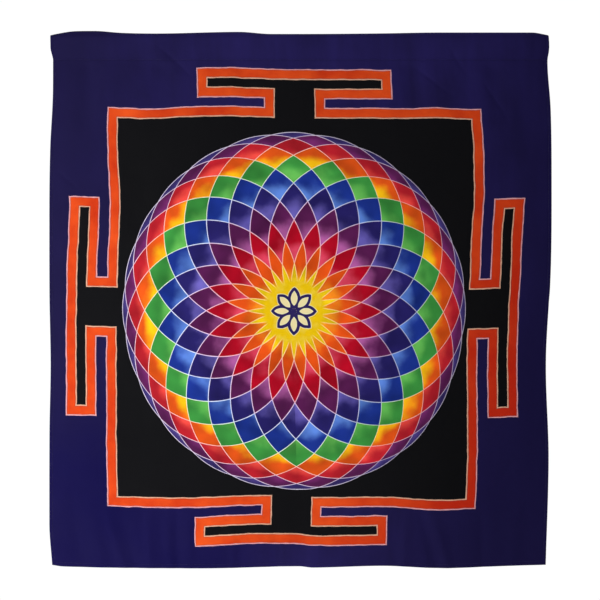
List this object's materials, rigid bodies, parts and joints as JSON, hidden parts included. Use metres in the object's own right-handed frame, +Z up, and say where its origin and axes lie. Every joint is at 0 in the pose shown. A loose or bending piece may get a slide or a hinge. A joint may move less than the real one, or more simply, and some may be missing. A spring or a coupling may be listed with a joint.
{
  "type": "tapestry wall hanging",
  "caption": "Hand-dyed batik cloth wall hanging with a mandala of overlapping circles, hemmed, on a wooden rod in a sewn top sleeve.",
  "frame": {"origin": "middle of the hanging rod's axis, where the rod is held up", "axes": "+X along the rod to the viewer's right, +Z up; the dyed front looks along -Y and the back, which faces the wall, along +Y"},
  "size_m": [1.07, 0.0146, 1.1505],
  "materials": {
    "rod_wood": "satin",
    "batik_cloth": "matte",
    "sewing_thread": "satin"
  },
  "bodies": {
    "rod": {"hanging_rod": "rod_wood"},
    "sleeve": {"rod_sleeve": "batik_cloth", "left_sleeve_mouth": "batik_cloth", "right_sleeve_mouth": "batik_cloth", "sleeve_seam_thread": "sewing_thread"},
    "panel": {"cloth_panel": "batik_cloth", "left_hem": "batik_cloth", "right_hem": "batik_cloth", "bottom_hem": "batik_cloth", "left_hem_thread": "sewing_thread", "right_hem_thread": "sewing_thread", "bottom_hem_thread": "sewing_thread"}
  },
  "joints": [
    {"name": "sleeve_slide", "type": "slide", "parent": "rod", "child": "sleeve", "axis": [1, 0, 0], "range_m": [-1.05, 1.05]},
    {"name": "panel_swing", "type": "hinge", "parent": "sleeve", "child": "panel", "pos_m": [0, -0.0005, -0.0512], "axis": [-1, 0, 0], "range_deg": [0, 90]}
  ]
}
